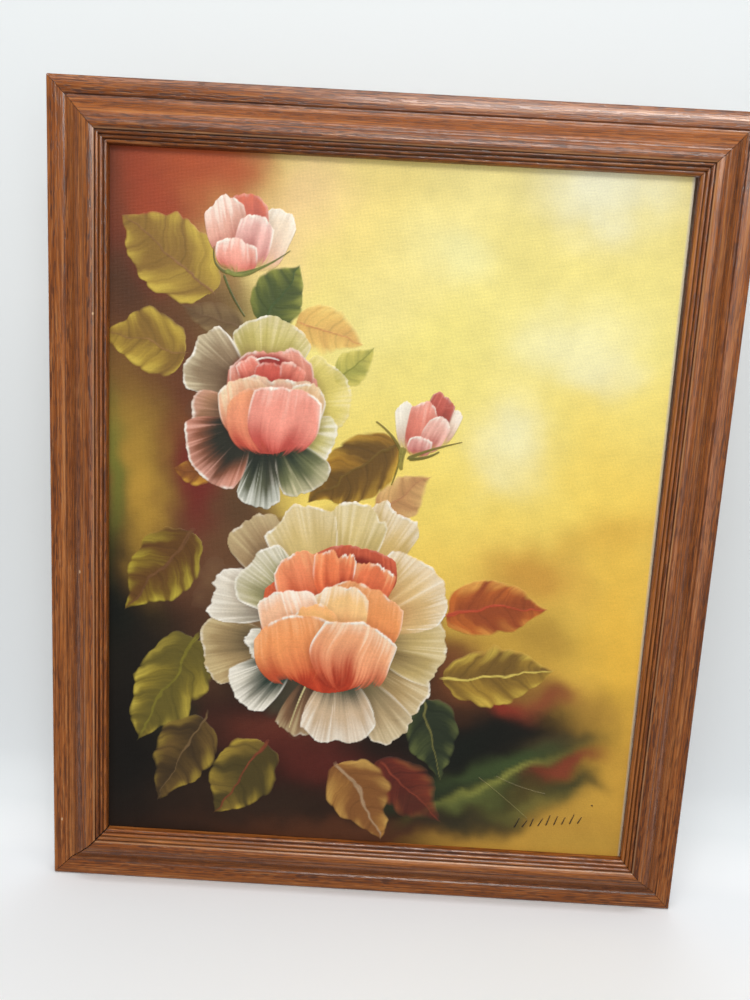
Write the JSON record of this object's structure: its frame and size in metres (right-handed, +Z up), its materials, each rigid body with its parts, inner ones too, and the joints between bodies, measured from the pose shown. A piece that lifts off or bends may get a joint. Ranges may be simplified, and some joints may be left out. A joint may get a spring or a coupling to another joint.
{
  "type": "framed oil painting",
  "caption": "Oil painting of roses on a stretched canvas, held in a mitred, stained oak frame with a stepped moulding, made to hang on a wall.",
  "frame": {"origin": "on the flat back of the top rail, midway along it, where the frame meets the wall", "axes": "+Z up the hanging picture, +Y into the wall, -Y towards whoever looks at it, +X to their right"},
  "size_m": [0.484, 0.0274, 0.586],
  "materials": {
    "oak_moulding": "oak, stained reddish brown, open grain under a satin lacquer",
    "pine_bar": "plain planed pine",
    "painted_canvas": "oil paint over fine woven cotton canvas, bare cloth behind",
    "steel_wire": "bright wire staples and brads"
  },
  "bodies": {
    "root": {"frame_rail_top": "oak_moulding", "frame_rail_bottom": "oak_moulding", "frame_rail_left": "oak_moulding", "frame_rail_right": "oak_moulding", "stretcher_bar_top": "pine_bar", "stretcher_bar_bottom": "pine_bar", "stretcher_bar_left": "pine_bar", "stretcher_bar_right": "pine_bar", "canvas": "painted_canvas"}
  },
  "joints": []
}
